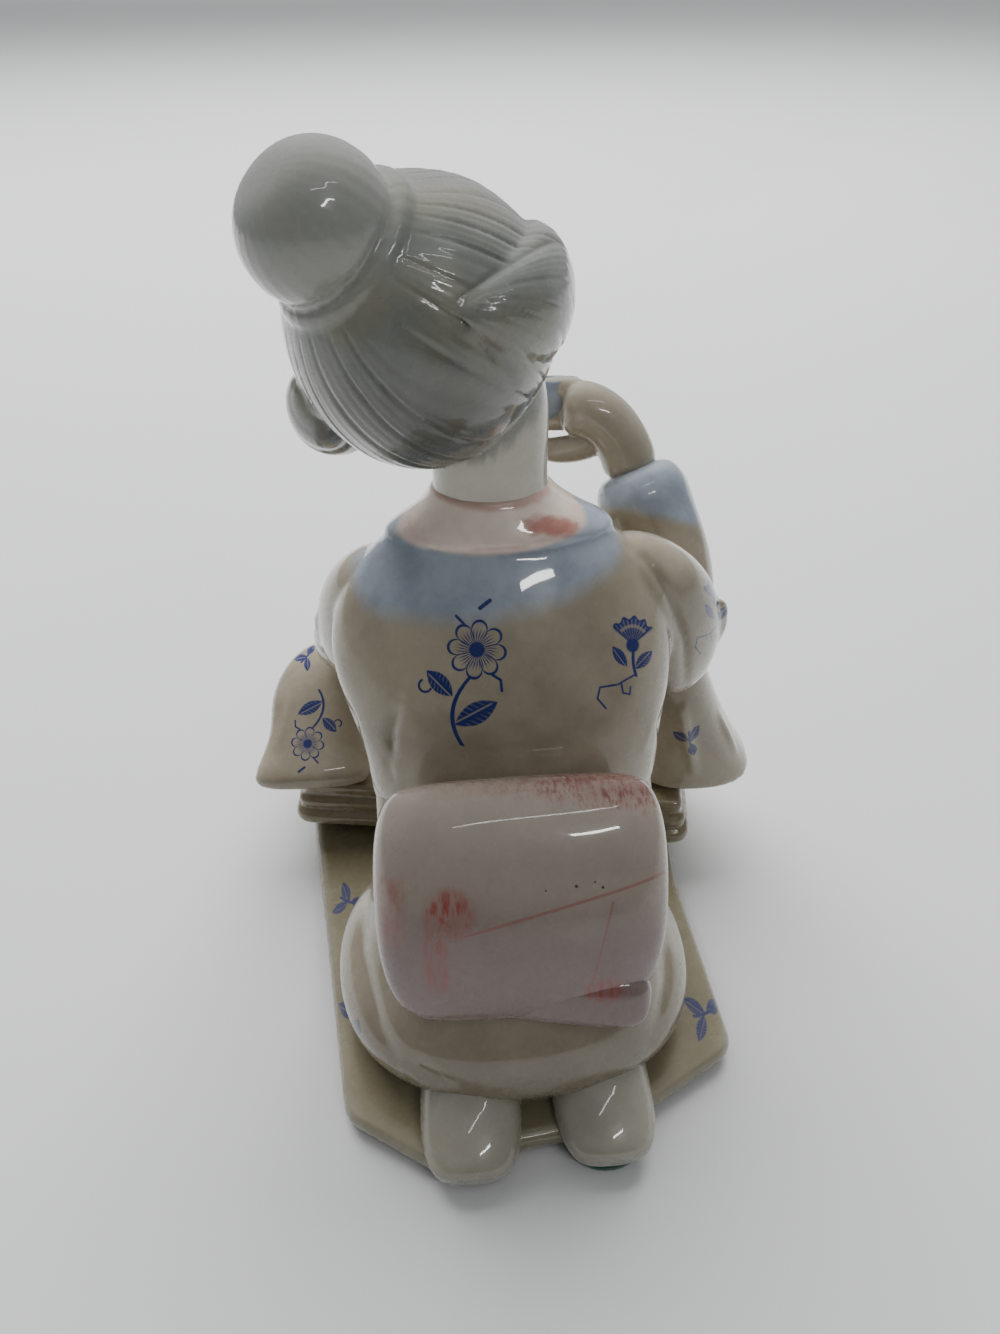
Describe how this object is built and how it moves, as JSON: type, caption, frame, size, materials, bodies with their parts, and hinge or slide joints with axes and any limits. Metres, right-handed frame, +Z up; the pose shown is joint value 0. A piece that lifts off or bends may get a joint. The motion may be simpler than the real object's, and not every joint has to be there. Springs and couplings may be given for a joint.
{
  "type": "kneeling porcelain figurine",
  "caption": "Glazed porcelain figurine of a kneeling figure in a kimono, leaning over a low table with a small cup raised in one hand; felt pads under its base.",
  "frame": {"origin": "on the ground under the middle of the footprint", "axes": "+Z up; the figure faces -Y; +X is the figure's left side"},
  "size_m": [0.1228, 0.1362, 0.1721],
  "materials": {
    "beige_glaze": "clear gloss glaze over underglaze colour",
    "hem_glaze": "clear gloss glaze over underglaze colour",
    "blue_glaze": "clear gloss glaze over underglaze colour",
    "pink_glaze": "clear gloss glaze over underglaze colour",
    "white_glaze": "clear gloss glaze over underglaze colour",
    "hair_glaze": "clear gloss glaze over underglaze colour",
    "table_glaze": "clear gloss glaze over underglaze colour",
    "green_felt": "dense green felt"
  },
  "bodies": {
    "root": {"brow_roll": "hair_glaze", "bun_roll": "hair_glaze", "felt_pad_1": "green_felt", "felt_pad_2": "green_felt", "felt_pad_3": "green_felt", "felt_pad_4": "green_felt", "hair_bun": "hair_glaze", "hair_cap": "hair_glaze", "head_and_neck": "white_glaze", "inner_collar": "pink_glaze", "kimono_hem_base": "hem_glaze", "kimono_skirt": "beige_glaze", "left_cuff": "blue_glaze", "left_foot": "white_glaze", "left_forearm_sleeve": "beige_glaze", "left_hair_wing": "hair_glaze", "left_hand": "white_glaze", "left_hanging_sleeve": "beige_glaze", "left_upper_sleeve": "beige_glaze", "obi_band": "pink_glaze", "obi_knot": "pink_glaze", "obi_tail": "pink_glaze", "outer_collar": "blue_glaze", "right_cuff": "blue_glaze", "right_foot": "white_glaze", "right_forearm_sleeve": "beige_glaze", "right_hair_wing": "hair_glaze", "right_hand": "beige_glaze", "right_hanging_sleeve": "beige_glaze", "right_thumb": "beige_glaze", "right_upper_sleeve": "beige_glaze", "table_plinth": "table_glaze", "table_top": "table_glaze", "tea_cup": "blue_glaze", "torso": "beige_glaze"}
  },
  "joints": []
}
